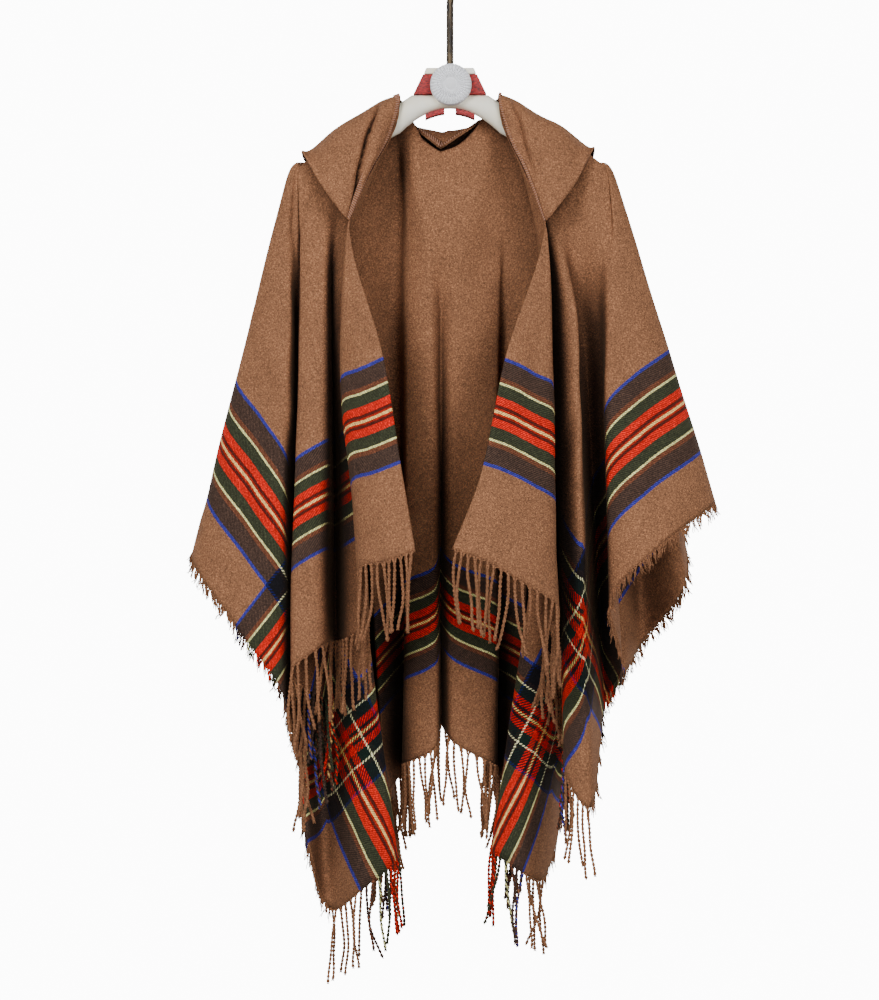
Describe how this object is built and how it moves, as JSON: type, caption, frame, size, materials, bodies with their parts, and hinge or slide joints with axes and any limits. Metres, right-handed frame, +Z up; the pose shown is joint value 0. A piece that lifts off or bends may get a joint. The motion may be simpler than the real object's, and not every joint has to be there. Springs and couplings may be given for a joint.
{
  "type": "hooded poncho on a hanger",
  "caption": "Open-front hooded wool poncho with striped borders and fringed hems, hung over the arms of a plain garment hanger with a hook.",
  "frame": {"origin": "the highest point inside the hook's bend, where the hanger hangs on a rail", "axes": "+Z up, +Y towards the back of the garment, +X towards the viewer's right when looking at the open front"},
  "size_m": [0.6665, 0.3692, 1.3536],
  "materials": {
    "wool": "napped wool twill",
    "fringe": "twisted wool strands",
    "cream": "satin lacquer",
    "red": "felt",
    "iron": "dark satin",
    "ribbon": "pleated satin ribbon"
  },
  "bodies": {
    "root": {"front_left": "wool", "front_right": "wool", "back": "wool", "hood_left": "wool", "hood_right": "wool", "fringe_front_left": "fringe", "fringe_front_right": "fringe", "fringe_back": "fringe", "hanger_arms": "cream", "hanger_cap": "cream", "hanger_block": "red", "hanger_lining_left": "red", "hanger_lining_right": "red", "hook": "iron", "rosette": "ribbon", "rosette_button": "ribbon"}
  },
  "joints": []
}
